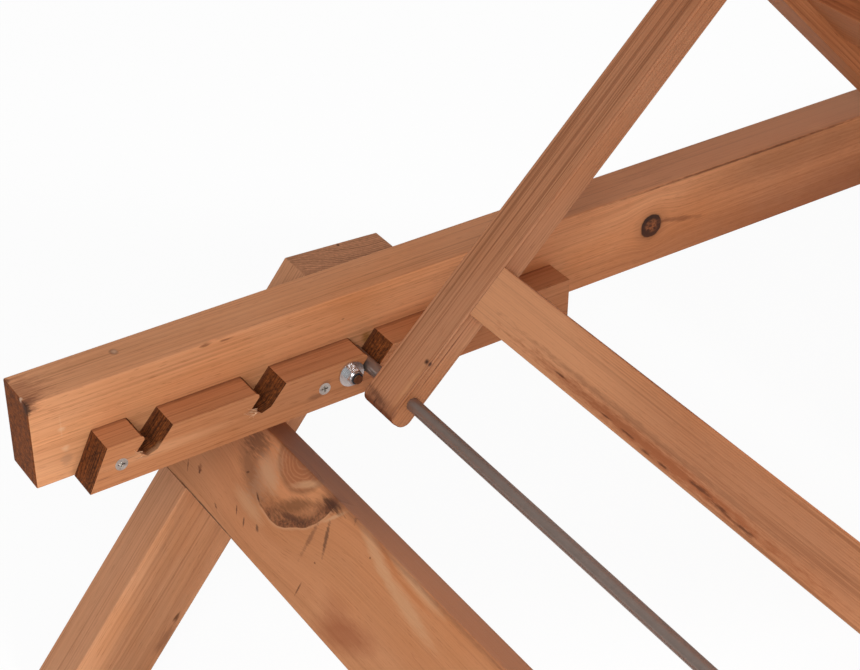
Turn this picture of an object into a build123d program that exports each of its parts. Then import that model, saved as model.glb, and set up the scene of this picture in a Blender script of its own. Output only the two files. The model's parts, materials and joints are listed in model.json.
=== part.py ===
from build123d import *
import math
import os

# Sun lounger in oiled softwood with a backrest that is propped on two notched racks.
# All lengths are in millimetres. X runs from the head end to the foot end, Y runs across
# and Z is up. The origin lies on the ground under the middle of the side rails.
# The left side is the +Y side, and every right-hand piece mirrors a left-hand one.

# Side rails
RAIL_LENGTH = 2000.0
RAIL_WIDTH = 45.0
RAIL_HEIGHT = 82.0
RAIL_TOP = 375.0
INNER_WIDTH = 670.0

# Rounding of the planed edges
ARRIS = 1.5

# Legs, bolted to the outer faces of the rails and raked towards the nearest rail end
LEG_WIDTH = 79.0
LEG_THICKNESS = 45.0
LEG_ANGLE = 52.2
LEG_TOP_INSET = 282.0
LEG_TOP_DROP = 7.5
LEG_TOP_TILT = 3.2
LEG_BOLT_INSET = 275.0
LEG_BOLT_DROP = 57.0

# Cross beams, let into the legs
BEAM_DROP = 122.0
BEAM_WIDTH = 93.0
BEAM_THICKNESS = 45.0
BEAM_SCREW_LENGTH = 60.0
beam_screw_shares = (0.25, 0.75)

# Notched racks, screwed to the inner faces of the rails
RACK_INSET = 32.4
RACK_LENGTH = 472.2
RACK_HEIGHT = 38.5
RACK_THICKNESS = 29.5
RACK_END_ANGLE = 64.7
RACK_SCREW_INSET = 29.0
RACK_SCREW_MIDDLE = 217.0
RACK_SCREW_LENGTH = 60.0
rack_screw_height_share = 0.48

# Notches: flat-bottomed slots that lean towards the foot end, with a slanting heel
NOTCH_IN_USE = 3
NOTCH_FIRST = 49.2
NOTCH_PITCH = 104.5
NOTCH_END_REST = 60.0
NOTCH_WIDTH = 16.8
NOTCH_DEPTH = 18.5
NOTCH_HEEL_WIDTH = 4.8
NOTCH_HEEL_HEIGHT = 8.1
NOTCH_ANGLE = 49.5
TOOTH_NOSE_RADIUS = 3.0

# Slats of the seat and the backrest
SLAT_THICKNESS = 20.0
SLAT_GAP = 8.5
SEAT_SLAT_COUNT = 10
BACK_SLAT_COUNT = 8
SEAT_HINGE_GAP = 1.5
seat_screw_depth_share = 0.3
back_screw_depth_share = 0.35
slat_screw_shares = (0.22, 0.78)

# Backrest frame, hinged between the rails
HINGE_INSET = 952.0
HEAD_GAP = 86.5
MEMBER_WIDTH = 45.0
MEMBER_DEPTH = 40.0
MEMBER_TOP_END = 6.0
BOARD_START = 215.0
BOARD_WIDTH = 95.0
BOARD_RECESS = 14.3
BOARD_SCREW_LENGTH = 80.0
board_screw_shares = (0.25, 0.75)

# Prop that holds the backrest up
PIVOT_REACH = 436.0
ARM_LENGTH = 480.0
ARM_WIDTH = 43.0
ARM_THICKNESS = 23.0
ARM_LOWER_END = 23.0
ARM_UPPER_END = 17.0
ARM_LOWER_ROUND = 9.0
CROSSBAR_START = 88.0
CROSSBAR_WIDTH = 47.5
CROSSBAR_SCREW_LENGTH = 80.0
crossbar_screw_shares = (0.3, 0.7)
ROD_RADIUS = 6.0
ROD_END_GAP = 3.0

# Fasteners
BOLT_RADIUS = 4.0
BOLT_HEAD_RADIUS = 10.0
BOLT_HEAD_HEIGHT = 4.5
BOLT_HEAD_ROUND = 3.0
BOLT_TIP = 2.5
NUT_FLATS = 13.0
NUT_HEIGHT = 6.5
NUT_COLLAR_RADIUS = 5.6
NUT_COLLAR_HEIGHT = 1.6
WASHER_RADIUS = 12.0
WASHER_THICKNESS = 2.0
SPACER_THICKNESS = 3.0
SCREW_RADIUS = 2.5
SCREW_HEAD_RADIUS = 5.6
SCREW_TIP = 5.0
RECESS_LENGTH = 6.4
RECESS_WIDTH = 1.3
RECESS_DEPTH = 2.0

# Clearances
SHAFT_FIT = 0.08
SCREW_FIT = 0.05
RUNNING_GAP = 0.3
COUNTERBORE_GAP = 0.5
OVERRUN = 5.0

# Places and counts that follow from the sizes above
HEAD_END = -RAIL_LENGTH / 2
RAIL_FACE = INNER_WIDTH / 2
RAIL_OUTER = RAIL_FACE + RAIL_WIDTH
LEG_OUTER = RAIL_OUTER + LEG_THICKNESS
MEMBER_OUTER = RAIL_FACE - SPACER_THICKNESS - RUNNING_GAP
MEMBER_INNER = MEMBER_OUTER - MEMBER_WIDTH
ARM_OUTER = MEMBER_INNER - SPACER_THICKNESS - RUNNING_GAP
ARM_INNER = ARM_OUTER - ARM_WIDTH
RACK_FACE = RAIL_FACE - RACK_THICKNESS
RACK_BOTTOM = RAIL_TOP - RAIL_HEIGHT
RACK_TOP = RACK_BOTTOM + RACK_HEIGHT
RACK_START = HEAD_END + RACK_INSET
NOTCH_COUNT = 1 + int((RACK_LENGTH - NOTCH_FIRST - NOTCH_END_REST) / NOTCH_PITCH)
SEAT_START = HEAD_END + HINGE_INSET + MEMBER_DEPTH / 2 + SEAT_HINGE_GAP
SEAT_SLAT_PITCH = (RAIL_LENGTH / 2 - SEAT_START + SLAT_GAP) / SEAT_SLAT_COUNT
SEAT_SLAT_WIDTH = SEAT_SLAT_PITCH - SLAT_GAP
BACK_SLAT_START = MEMBER_DEPTH / 2 + SLAT_THICKNESS
MEMBER_LENGTH = HINGE_INSET - HEAD_GAP
BACK_LENGTH = MEMBER_LENGTH - MEMBER_TOP_END - BACK_SLAT_START
BACK_SLAT_PITCH = (BACK_LENGTH + SLAT_GAP) / BACK_SLAT_COUNT
BACK_SLAT_WIDTH = BACK_SLAT_PITCH - SLAT_GAP


def turned(angle):
    """Cosine and sine of an angle in degrees."""
    return math.cos(math.radians(angle)), math.sin(math.radians(angle))


def notch_point(number, across, rise):
    """Point of a notch, measured across from the middle of its flat bottom and up along it."""
    along, up = turned(NOTCH_ANGLE)
    x = RACK_START + NOTCH_FIRST + (number - 1) * NOTCH_PITCH
    z = RACK_TOP - NOTCH_DEPTH
    return x + rise * along + across * up, z + rise * up - across * along


HINGE = (HEAD_END + HINGE_INSET, RAIL_TOP - MEMBER_DEPTH / 2)
ROD = notch_point(NOTCH_IN_USE, 0, ROD_RADIUS + RUNNING_GAP)


def backrest_angle():
    """Lift of the backrest at which the prop's arms just reach the rod."""
    across = HINGE[0] - ROD[0]
    drop = ROD[1] - HINGE[1]
    span = math.hypot(across, drop)
    cosine = (PIVOT_REACH**2 + span**2 - ARM_LENGTH**2) / (2 * PIVOT_REACH * span)
    return math.degrees(math.acos(cosine) + math.atan2(drop, across))


BACK_ANGLE = backrest_angle()
PIVOT = (
    HINGE[0] - PIVOT_REACH * turned(BACK_ANGLE)[0],
    HINGE[1] + PIVOT_REACH * turned(BACK_ANGLE)[1],
)
ARM_ANGLE = math.degrees(math.atan2(PIVOT[1] - ROD[1], PIVOT[0] - ROD[0]))


def slab(outline, y_low, y_high):
    """Solid with an outline of X and Z points between two Y positions."""
    edge = Polyline(*[(x, y_low, z) for x, z in outline], close=True)
    return extrude(make_face(edge), amount=y_high - y_low, dir=(0, 1, 0))


def block(x_low, x_high, y_low, y_high, z_low, z_high):
    """Plain box between its limits."""
    size = (x_high - x_low, y_high - y_low, z_high - z_low)
    middle = ((x_high + x_low) / 2, (y_high + y_low) / 2, (z_high + z_low) / 2)
    return Pos(*middle) * Box(*size)


def crosswise(radius, y_low, y_high, x, z):
    """Round bar along Y."""
    return Pos(x, (y_low + y_high) / 2, z) * Rot(90, 0, 0) * Cylinder(radius, y_high - y_low)


def eased(board):
    """Board with all its edges rounded as planed timber is."""
    return fillet(board.edges(), ARRIS)


def eased_sides(board):
    """Board with rounded edges round its two Y faces only."""
    return fillet(board.faces().filter_by(Axis.Y).edges(), ARRIS)


def mirrored(piece):
    """The right-hand twin of a left-hand piece."""
    return mirror(piece, about=Plane.XZ)


def both_sides(pieces):
    """A list of left-hand pieces followed by their right-hand twins."""
    return list(pieces) + [mirrored(piece) for piece in pieces]


def to_foot_end(piece):
    """The foot-end twin of a head-end piece."""
    return mirror(piece, about=Plane.YZ)


def on_backrest(piece):
    """Moves a piece drawn on the flat backrest, hinge at zero, to its place at rest."""
    return Pos(HINGE[0], 0, HINGE[1]) * Rot(0, BACK_ANGLE, 0) * piece


def on_prop(piece):
    """Moves a piece drawn on the level prop, rod at zero, to its place at rest."""
    return Pos(ROD[0], 0, ROD[1]) * Rot(0, -ARM_ANGLE, 0) * piece


# Fasteners


def screw_shape(length, grow):
    """Countersunk screw pointing down from zero, or its hole when grown a little."""
    head = SCREW_HEAD_RADIUS + grow
    shank = SCREW_RADIUS + grow
    outline = Polyline(
        (0, 0, 0),
        (head, 0, 0),
        (shank, 0, shank - head),
        (shank, 0, SCREW_TIP - length),
        (0, 0, -length - grow),
        close=True,
    )
    return revolve(make_face(outline), axis=Axis.Z)


def screw(length):
    """Countersunk wood screw with a cross recess, head up at zero."""
    slot = Box(RECESS_LENGTH, RECESS_WIDTH, 2 * RECESS_DEPTH)
    return screw_shape(length, 0) - slot - Rot(0, 0, 90) * slot


def screw_hole(length):
    """Countersunk hole that a screw of this length fills."""
    return screw_shape(length, SCREW_FIT)


def bolt(length):
    """Round-headed bolt pointing down from zero."""
    head = Pos(0, 0, BOLT_HEAD_HEIGHT / 2) * Cylinder(BOLT_HEAD_RADIUS, BOLT_HEAD_HEIGHT)
    head = fillet(head.edges().group_by(Axis.Z)[-1], BOLT_HEAD_ROUND)
    return head + Pos(0, 0, -length / 2) * Cylinder(BOLT_RADIUS, length)


def nut():
    """Lock nut standing on zero, with its round collar on top."""
    hexagon = extrude(RegularPolygon(NUT_FLATS / 2, 6, major_radius=False), amount=NUT_HEIGHT)
    collar = Pos(0, 0, NUT_HEIGHT + NUT_COLLAR_HEIGHT / 2) * Cylinder(NUT_COLLAR_RADIUS, NUT_COLLAR_HEIGHT)
    return hexagon + collar - Cylinder(BOLT_RADIUS + SHAFT_FIT, 4 * NUT_HEIGHT)


def ring(thickness):
    """Washer or spacer standing on zero."""
    middle = Pos(0, 0, thickness / 2)
    return middle * Cylinder(WASHER_RADIUS, thickness) - middle * Cylinder(BOLT_RADIUS + SHAFT_FIT, 2 * thickness)


def outward(x, y, z):
    """Turns a piece that points up so that it points to the left side, at a place."""
    return Pos(x, y, z) * Rot(-90, 0, 0)


def inward(x, y, z):
    """Turns a piece that points up so that it points to the middle plane, at a place."""
    return Pos(x, y, z) * Rot(90, 0, 0)


def bolt_length(grip):
    """Length that passes a grip, a washer and the nut and stands out a little."""
    return grip + WASHER_THICKNESS + NUT_HEIGHT + NUT_COLLAR_HEIGHT + BOLT_TIP


# Frame


def leg_axes():
    """Top inner corner of the head leg, its downward direction and its cross direction."""
    corner = (HEAD_END + LEG_TOP_INSET, RAIL_TOP - LEG_TOP_DROP)
    along, up = turned(LEG_ANGLE)
    return corner, (-along, -up), (up, -along)


def leg_point(down, across):
    """Point of the head leg, measured down its upper edge and across its width."""
    corner, run, side = leg_axes()
    return (
        corner[0] + down * run[0] + across * side[0],
        corner[1] + down * run[1] + across * side[1],
    )


def leg_outline():
    """Outline of the head leg, cut level on the ground and nearly level on top."""
    corner, run, side = leg_axes()
    foot_run = corner[1] / -run[1]
    foot = (corner[0] + foot_run * run[0], 0)
    heel = (foot[0] + LEG_WIDTH / side[0], 0)
    top = LEG_WIDTH / turned(LEG_ANGLE + LEG_TOP_TILT)[1]
    along, down = turned(LEG_TOP_TILT)
    back = (corner[0] + top * along, corner[1] - top * down)
    return [corner, foot, heel, back]


def beam_outline():
    """Section of the cross beam, its wide face flush with the leg's upper edge."""
    low = BEAM_DROP + BEAM_WIDTH
    return [
        leg_point(BEAM_DROP, 0),
        leg_point(low, 0),
        leg_point(low, BEAM_THICKNESS),
        leg_point(BEAM_DROP, BEAM_THICKNESS),
    ]


def leg_bolt_place():
    """Axis of the bolt that holds the head leg."""
    return HEAD_END + LEG_BOLT_INSET, RAIL_TOP - LEG_BOLT_DROP


def beam_screw_places():
    """Seats of the screws that go through the rest of the leg into the beam."""
    y = RAIL_OUTER + LEG_THICKNESS / 2
    places = []
    for share in beam_screw_shares:
        x, z = leg_point(BEAM_DROP + share * BEAM_WIDTH, LEG_WIDTH)
        places.append(Pos(x, y, z) * Rot(0, 180 - LEG_ANGLE, 0))
    return places


def head_leg():
    """Left leg of the head end, with the housing for the beam and its holes."""
    leg = eased(slab(leg_outline(), RAIL_OUTER, LEG_OUTER))
    housing = slab(beam_outline(), RAIL_OUTER - OVERRUN, LEG_OUTER + OVERRUN)
    x, z = leg_bolt_place()
    bore = crosswise(BOLT_RADIUS + SHAFT_FIT, RAIL_OUTER - OVERRUN, LEG_OUTER + OVERRUN, x, z)
    return leg - housing - bore - [place * screw_hole(BEAM_SCREW_LENGTH) for place in beam_screw_places()]


def head_beam():
    """Cross beam of the head end, from one leg's outer face to the other's."""
    beam = eased(slab(beam_outline(), -LEG_OUTER, LEG_OUTER))
    holes = [place * screw_hole(BEAM_SCREW_LENGTH) for place in beam_screw_places()]
    return beam - both_sides(holes)


def rack_screw_places():
    """Seats of the screws on the left rack's inner face."""
    z = RACK_BOTTOM + rack_screw_height_share * RACK_HEIGHT
    insets = (RACK_SCREW_INSET, RACK_SCREW_MIDDLE, RACK_LENGTH - RACK_SCREW_INSET)
    return [inward(RACK_START + inset, RACK_FACE, z) for inset in insets]


def notch_cut(number):
    """Slot of one notch, open at the rack's top face."""
    half = NOTCH_WIDTH / 2
    reach = RACK_HEIGHT / turned(NOTCH_ANGLE)[1]
    outline = [
        notch_point(number, -half, 0),
        notch_point(number, half - NOTCH_HEEL_WIDTH, 0),
        notch_point(number, half, NOTCH_HEEL_HEIGHT),
        notch_point(number, half, reach),
        notch_point(number, -half, reach),
    ]
    return slab(outline, RACK_FACE - OVERRUN, RAIL_FACE + OVERRUN)


def tooth_nose(number):
    """Top corner of the tooth that overhangs a notch."""
    along, up = turned(NOTCH_ANGLE)
    half = NOTCH_WIDTH / 2
    x, z = notch_point(number, -half, (NOTCH_DEPTH - half * along) / up)
    return (x, (RACK_FACE + RAIL_FACE) / 2, z)


def left_rack():
    """Notched rack on the inner face of the left rail, flush with its underside."""
    end = RACK_START + RACK_LENGTH
    along, up = turned(RACK_END_ANGLE)
    outline = [
        (RACK_START, RACK_BOTTOM),
        (end, RACK_BOTTOM),
        (end, RACK_TOP),
        (RACK_START + RACK_HEIGHT * along / up, RACK_TOP),
    ]
    rack = slab(outline, RACK_FACE, RAIL_FACE)
    numbers = range(1, NOTCH_COUNT + 1)
    rack = rack - [notch_cut(number) for number in numbers]
    for number in numbers:
        nose = rack.edges().filter_by(Axis.Y).sort_by_distance(tooth_nose(number))[0]
        rack = fillet(nose, TOOTH_NOSE_RADIUS)
    x, z = leg_bolt_place()
    bore = crosswise(BOLT_RADIUS + SHAFT_FIT, RACK_FACE - OVERRUN, RAIL_FACE + OVERRUN, x, z)
    return rack - bore - [place * screw_hole(RACK_SCREW_LENGTH) for place in rack_screw_places()]


def seat_slat_low(index):
    """Edge of a seat slat nearest the head end."""
    return SEAT_START + index * SEAT_SLAT_PITCH


SEAT_SCREW_LENGTH = SLAT_THICKNESS + seat_screw_depth_share * RAIL_HEIGHT


def seat_screw_places(index):
    """Seats of the screws at the left end of one seat slat."""
    y = RAIL_FACE + RAIL_WIDTH / 2
    z = RAIL_TOP + SLAT_THICKNESS
    low = seat_slat_low(index)
    return [Pos(low + share * SEAT_SLAT_WIDTH, y, z) for share in slat_screw_shares]


def seat_slat(index):
    """Slat across both rails, with its screw holes."""
    low = seat_slat_low(index)
    high = low + SEAT_SLAT_WIDTH
    slat = eased(block(low, high, -RAIL_OUTER, RAIL_OUTER, RAIL_TOP, RAIL_TOP + SLAT_THICKNESS))
    holes = [place * screw_hole(SEAT_SCREW_LENGTH) for place in seat_screw_places(index)]
    return slat - both_sides(holes)


def left_rail():
    """Left side rail with the holes for all that is fixed to it."""
    rail = eased(block(HEAD_END, -HEAD_END, RAIL_FACE, RAIL_OUTER, RACK_BOTTOM, RAIL_TOP))
    x, z = leg_bolt_place()
    radius = BOLT_RADIUS + SHAFT_FIT
    low = RAIL_FACE - OVERRUN
    high = RAIL_OUTER + OVERRUN
    places = ((x, z), (-x, z), HINGE)
    bores = [crosswise(radius, low, high, *place) for place in places]
    holes = [place * screw_hole(RACK_SCREW_LENGTH) for place in rack_screw_places()]
    for index in range(SEAT_SLAT_COUNT):
        holes += [place * screw_hole(SEAT_SCREW_LENGTH) for place in seat_screw_places(index)]
    return rail - bores - holes


# Backrest, drawn flat with the hinge at zero and its top towards the head end


def left_member():
    """Left side member of the backrest, rounded about the hinge."""
    half = MEMBER_DEPTH / 2
    outline = (
        Line((0, MEMBER_INNER, half), (-MEMBER_LENGTH, MEMBER_INNER, half))
        + Line((-MEMBER_LENGTH, MEMBER_INNER, half), (-MEMBER_LENGTH, MEMBER_INNER, -half))
        + Line((-MEMBER_LENGTH, MEMBER_INNER, -half), (0, MEMBER_INNER, -half))
        + ThreePointArc((0, MEMBER_INNER, -half), (half, MEMBER_INNER, 0), (0, MEMBER_INNER, half))
    )
    member = eased_sides(extrude(make_face(outline), amount=MEMBER_WIDTH, dir=(0, 1, 0)))
    low = MEMBER_INNER - OVERRUN
    high = MEMBER_OUTER + OVERRUN
    radius = BOLT_RADIUS + SHAFT_FIT
    member = member - crosswise(radius, low, high, 0, 0) - crosswise(radius, low, high, -PIVOT_REACH, 0)
    sunk = MEMBER_OUTER - BOLT_HEAD_HEIGHT - COUNTERBORE_GAP
    member = member - crosswise(BOLT_HEAD_RADIUS + COUNTERBORE_GAP, sunk, high, -PIVOT_REACH, 0)
    holes = [place * screw_hole(BOARD_SCREW_LENGTH) for place in board_screw_places()]
    for index in range(BACK_SLAT_COUNT):
        holes += [place * screw_hole(BACK_SCREW_LENGTH) for place in back_screw_places(index)]
    return member - holes


def board_screw_places():
    """Seats of the screws through the left member into the cross board."""
    z = BOARD_RECESS / 2
    starts = [-BOARD_START - share * BOARD_WIDTH for share in board_screw_shares]
    return [outward(x, MEMBER_OUTER, z) for x in starts]


def cross_board():
    """Board between the members behind the lower slats, set back from their rear face."""
    half = MEMBER_DEPTH / 2
    low = -BOARD_START - BOARD_WIDTH
    board = eased(block(low, -BOARD_START, -MEMBER_INNER, MEMBER_INNER, BOARD_RECESS - half, half))
    holes = [place * screw_hole(BOARD_SCREW_LENGTH) for place in board_screw_places()]
    return board - both_sides(holes)


def back_slat_low(index):
    """Edge of a back slat nearest the hinge."""
    return -BACK_SLAT_START - index * BACK_SLAT_PITCH


BACK_SCREW_LENGTH = SLAT_THICKNESS + back_screw_depth_share * MEMBER_DEPTH


def back_screw_places(index):
    """Seats of the screws at the left end of one back slat."""
    y = (MEMBER_INNER + MEMBER_OUTER) / 2
    z = MEMBER_DEPTH / 2 + SLAT_THICKNESS
    edge = back_slat_low(index)
    return [Pos(edge - share * BACK_SLAT_WIDTH, y, z) for share in slat_screw_shares]


def back_slat(index):
    """Slat on the front faces of both members, with its screw holes."""
    high = back_slat_low(index)
    low = high - BACK_SLAT_WIDTH
    top = MEMBER_DEPTH / 2
    slat = eased(block(low, high, -MEMBER_OUTER, MEMBER_OUTER, top, top + SLAT_THICKNESS))
    holes = [place * screw_hole(BACK_SCREW_LENGTH) for place in back_screw_places(index)]
    return slat - both_sides(holes)


# Prop, drawn level with the rod at zero and the pivot towards the foot end


def crossbar_screw_places():
    """Seats of the screws through the left arm into the crossbar."""
    starts = [CROSSBAR_START + share * CROSSBAR_WIDTH for share in crossbar_screw_shares]
    return [outward(x, ARM_OUTER, 0) for x in starts]


def left_arm():
    """Left arm of the prop, from the rod to the pivot bolt."""
    half = ARM_THICKNESS / 2
    arm = block(-ARM_LOWER_END, ARM_LENGTH + ARM_UPPER_END, ARM_INNER, ARM_OUTER, -half, half)
    ends = arm.edges().filter_by(Axis.Y).group_by(Axis.X)
    arm = fillet(ends[0], ARM_LOWER_ROUND)
    ends = arm.edges().filter_by(Axis.Y).group_by(Axis.X)
    arm = fillet(ends[-1], half - RUNNING_GAP)
    arm = eased_sides(arm)
    low = ARM_INNER - OVERRUN
    high = ARM_OUTER + OVERRUN
    bores = [crosswise(ROD_RADIUS + SHAFT_FIT, low, high, 0, 0)]
    bores.append(crosswise(BOLT_RADIUS + SHAFT_FIT, low, high, ARM_LENGTH, 0))
    holes = [place * screw_hole(CROSSBAR_SCREW_LENGTH) for place in crossbar_screw_places()]
    return arm - bores - holes


def crossbar():
    """Wooden bar between the two arms, flush with both their faces."""
    half = ARM_THICKNESS / 2
    end = CROSSBAR_START + CROSSBAR_WIDTH
    bar = eased(block(CROSSBAR_START, end, -ARM_INNER, ARM_INNER, -half, half))
    holes = [place * screw_hole(CROSSBAR_SCREW_LENGTH) for place in crossbar_screw_places()]
    return bar - both_sides(holes)


def rod():
    """Steel rod through both arms, with its ends over the racks."""
    reach = RAIL_FACE - ROD_END_GAP
    return crosswise(ROD_RADIUS, -reach, reach, 0, 0)


# Hardware groups


def leg_hardware():
    """Bolts, washers and nuts of the four legs."""
    x, z = leg_bolt_place()
    head_grip = LEG_OUTER - RACK_FACE
    foot_grip = LEG_OUTER - RAIL_FACE
    seats = [(x, RACK_FACE), (-x, RAIL_FACE)]
    washers = [inward(place, face, z) * ring(WASHER_THICKNESS) for place, face in seats]
    nuts = [inward(place, face - WASHER_THICKNESS, z) * nut() for place, face in seats]
    return {
        "head_leg_bolts": both_sides([outward(x, LEG_OUTER, z) * bolt(bolt_length(head_grip))]),
        "foot_leg_bolts": both_sides([outward(-x, LEG_OUTER, z) * bolt(bolt_length(foot_grip))]),
        "leg_washers": both_sides(washers),
        "leg_nuts": both_sides(nuts),
    }


def hinge_hardware():
    """Bolts, spacers, washers and nuts that the backrest turns on."""
    x, z = HINGE
    face = MEMBER_INNER - RUNNING_GAP
    length = bolt_length(RAIL_OUTER - face)
    return {
        "hinge_bolts": both_sides([outward(x, RAIL_OUTER, z) * bolt(length)]),
        "hinge_spacers": both_sides([inward(x, RAIL_FACE, z) * ring(SPACER_THICKNESS)]),
        "hinge_washers": both_sides([inward(x, face, z) * ring(WASHER_THICKNESS)]),
        "hinge_nuts": both_sides([inward(x, face - WASHER_THICKNESS, z) * nut()]),
    }


def pivot_hardware():
    """Bolts, spacers, washers and nuts that the prop turns on, drawn on the flat backrest."""
    head = MEMBER_OUTER - BOLT_HEAD_HEIGHT - COUNTERBORE_GAP
    face = ARM_INNER - RUNNING_GAP
    length = bolt_length(head - face)
    x = -PIVOT_REACH
    return {
        "pivot_bolts": both_sides([outward(x, head, 0) * bolt(length)]),
        "pivot_spacers": both_sides([inward(x, MEMBER_INNER, 0) * ring(SPACER_THICKNESS)]),
        "pivot_washers": both_sides([inward(x, face, 0) * ring(WASHER_THICKNESS)]),
        "pivot_nuts": both_sides([inward(x, face - WASHER_THICKNESS, 0) * nut()]),
    }


def screws(places, length):
    """One screw at each place on the left, and their right-hand twins."""
    return both_sides([place * screw(length) for place in places])


def frame_pieces():
    """All pieces of the standing frame."""
    beam_screws = screws(beam_screw_places(), BEAM_SCREW_LENGTH)
    seat_places = [place for index in range(SEAT_SLAT_COUNT) for place in seat_screw_places(index)]
    rail, rack, leg, beam = left_rail(), left_rack(), head_leg(), head_beam()
    pieces = {
        "left_side_rail": [rail],
        "right_side_rail": [mirrored(rail)],
        "left_notch_rack": [rack],
        "right_notch_rack": [mirrored(rack)],
        "head_leg_left": [leg],
        "head_leg_right": [mirrored(leg)],
        "foot_leg_left": [to_foot_end(leg)],
        "foot_leg_right": [to_foot_end(mirrored(leg))],
        "head_cross_beam": [beam],
        "foot_cross_beam": [to_foot_end(beam)],
        "beam_screws": beam_screws + [to_foot_end(piece) for piece in beam_screws],
        "rack_screws": screws(rack_screw_places(), RACK_SCREW_LENGTH),
        "seat_slat_screws": screws(seat_places, SEAT_SCREW_LENGTH),
    }
    for index in range(SEAT_SLAT_COUNT):
        pieces[f"seat_slat_{index + 1}"] = [seat_slat(index)]
    pieces.update(leg_hardware())
    pieces.update(hinge_hardware())
    return pieces


def backrest_pieces():
    """All pieces that turn with the backrest."""
    slat_places = [place for index in range(BACK_SLAT_COUNT) for place in back_screw_places(index)]
    member = left_member()
    pieces = {
        "back_member_left": [member],
        "back_member_right": [mirrored(member)],
        "back_cross_board": [cross_board()],
        "back_board_screws": screws(board_screw_places(), BOARD_SCREW_LENGTH),
        "back_slat_screws": screws(slat_places, BACK_SCREW_LENGTH),
    }
    for index in range(BACK_SLAT_COUNT):
        pieces[f"back_slat_{index + 1}"] = [back_slat(index)]
    pieces.update(pivot_hardware())
    return {name: [on_backrest(piece) for piece in group] for name, group in pieces.items()}


def prop_pieces():
    """All pieces that turn with the prop."""
    arm = left_arm()
    pieces = {
        "prop_arm_left": [arm],
        "prop_arm_right": [mirrored(arm)],
        "prop_crossbar": [crossbar()],
        "prop_rod": [rod()],
        "crossbar_screws": screws(crossbar_screw_places(), CROSSBAR_SCREW_LENGTH),
    }
    return {name: [on_prop(piece) for piece in group] for name, group in pieces.items()}


def solids_of(group):
    """The solids in a group of pieces."""
    return [solid for piece in group for solid in piece.solids()]


def main():
    os.makedirs("parts", exist_ok=True)
    pieces = {**frame_pieces(), **backrest_pieces(), **prop_pieces()}
    for name, group in pieces.items():
        solids = solids_of(group)
        shape = solids[0] if len(solids) == 1 else Compound(solids)
        export_step(shape, f"parts/{name}.step")
    print("hinge", HINGE, "pivot", PIVOT, "rod", ROD)
    print("backrest angle", BACK_ANGLE, "arm angle", ARM_ANGLE)
    print("slat pitches", SEAT_SLAT_PITCH, BACK_SLAT_PITCH, "widths", SEAT_SLAT_WIDTH, BACK_SLAT_WIDTH)


main()
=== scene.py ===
import itertools
import json
import math
import random
from dataclasses import dataclass

import bmesh
import bpy
from mathutils import Euler, Matrix, Vector

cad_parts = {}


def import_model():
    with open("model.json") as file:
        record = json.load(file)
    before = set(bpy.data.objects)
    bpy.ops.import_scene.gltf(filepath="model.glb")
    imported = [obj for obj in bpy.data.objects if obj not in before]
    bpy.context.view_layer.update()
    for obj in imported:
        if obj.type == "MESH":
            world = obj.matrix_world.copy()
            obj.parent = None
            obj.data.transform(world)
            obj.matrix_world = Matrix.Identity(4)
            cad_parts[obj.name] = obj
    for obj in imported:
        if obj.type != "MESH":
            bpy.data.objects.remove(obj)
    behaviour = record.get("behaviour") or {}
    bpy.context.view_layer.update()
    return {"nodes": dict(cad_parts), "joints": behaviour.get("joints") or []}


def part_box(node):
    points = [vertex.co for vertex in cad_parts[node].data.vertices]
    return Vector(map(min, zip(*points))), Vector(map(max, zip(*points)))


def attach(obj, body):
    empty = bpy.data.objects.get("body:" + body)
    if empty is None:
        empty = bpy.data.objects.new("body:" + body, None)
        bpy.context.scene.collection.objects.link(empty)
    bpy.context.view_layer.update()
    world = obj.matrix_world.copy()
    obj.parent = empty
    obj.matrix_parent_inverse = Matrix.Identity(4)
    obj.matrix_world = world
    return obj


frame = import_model()
nodes = frame["nodes"]

# Places are in metres in the row frame: X to the foot end, Y to the left side, Z up.

# Camera, solved from the photograph's three vanishing directions
CAMERA_PLACE = (-1.42262, -0.84673, 1.27593)
CAMERA_TURN = (55.6799, -0.5313, -33.6538)
CAMERA_LENS = 82.094
SENSOR_WIDTH = 36.0
NEAREST_SEEN = 0.05
FURTHEST_SEEN = 60.0

# Lights: one on the right of the camera, one behind it on the left, and an even surround
AMBIENT = 0.45
RIGHT_LAMP_FROM = (0.7, -2.6, 2.8)
RIGHT_LAMP_SIZE = 0.6
RIGHT_LAMP_POWER = 125.0
LEFT_LAMP_FROM = (-2.3, -1.6, 2.1)
LEFT_LAMP_SIZE = 1.6
LEFT_LAMP_POWER = 44.0
FLOOR_WIDTH = 14.0
FLOOR_SHADOW = 0.05
FLOOR_GREY = 0.86

# How steeply the legs stand, in degrees
LEG_ANGLE = 52.2


def middle(node):
    """Middle of a CAD node's box."""
    low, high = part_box(node)
    return (low + high) / 2


def tilted(angle, forward):
    """Unit direction in the XZ plane that rises by an angle in degrees, to the foot or the head end."""
    return Vector((forward * math.cos(math.radians(angle)), 0, math.sin(math.radians(angle))))


joint_places = {joint["name"]: Vector(joint["pos_m"]) for joint in frame["joints"]}
HINGE = joint_places["backrest_recline"]
PIVOT = joint_places["prop_swing"]
ROD = middle("prop_rod")
ALONG = Vector((1, 0, 0))
ACROSS = Vector((0, 1, 0))
UP = Vector((0, 0, 1))
HEAD_LEG = tilted(LEG_ANGLE, 1)
FOOT_LEG = tilted(LEG_ANGLE, -1)
BACK = (PIVOT - HINGE).normalized()
ARM = (PIVOT - ROD).normalized()
ARM_FACE = ARM.cross(ACROSS)

# Half thicknesses, and the crossbar's edges measured along the arms from the rod
PROP_HALF = 0.0115
BEAM_HALF = 0.0225
CROSSBAR_LOW = 0.088
CROSSBAR_HIGH = 0.1355


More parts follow.
